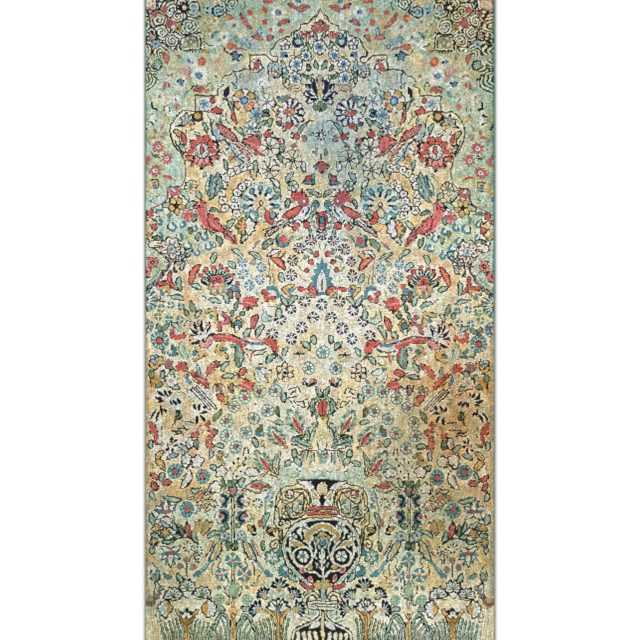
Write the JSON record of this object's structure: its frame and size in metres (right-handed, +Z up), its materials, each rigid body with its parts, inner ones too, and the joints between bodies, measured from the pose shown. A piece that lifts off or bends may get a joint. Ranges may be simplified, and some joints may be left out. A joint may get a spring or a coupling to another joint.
{
  "type": "kashmir silk rug",
  "caption": "Small hand-knotted silk prayer rug lying flat, pile side up: vase, flowering tree with birds and a stepped arch, with overcast side cords and flat-woven ends.",
  "frame": {"origin": "on the floor, under the middle of the rug", "axes": "+X across the rug to the right as seen in the picture, +Y along it from the vase at its foot to the arch at its head, +Z up through the pile"},
  "size_m": [0.5, 0.96, 0.0055],
  "materials": {
    "silk_pile": "sheared silk pile, ivory ground with many colours",
    "selvedge_yarn": "overcast yarn, pale grey-green",
    "warp_web": "plain flat weave, undyed cream"
  },
  "bodies": {
    "root": {"rug_pile": "silk_pile", "selvedge_left": "selvedge_yarn", "selvedge_right": "selvedge_yarn", "end_web_foot": "warp_web", "end_web_head": "warp_web"}
  },
  "joints": []
}
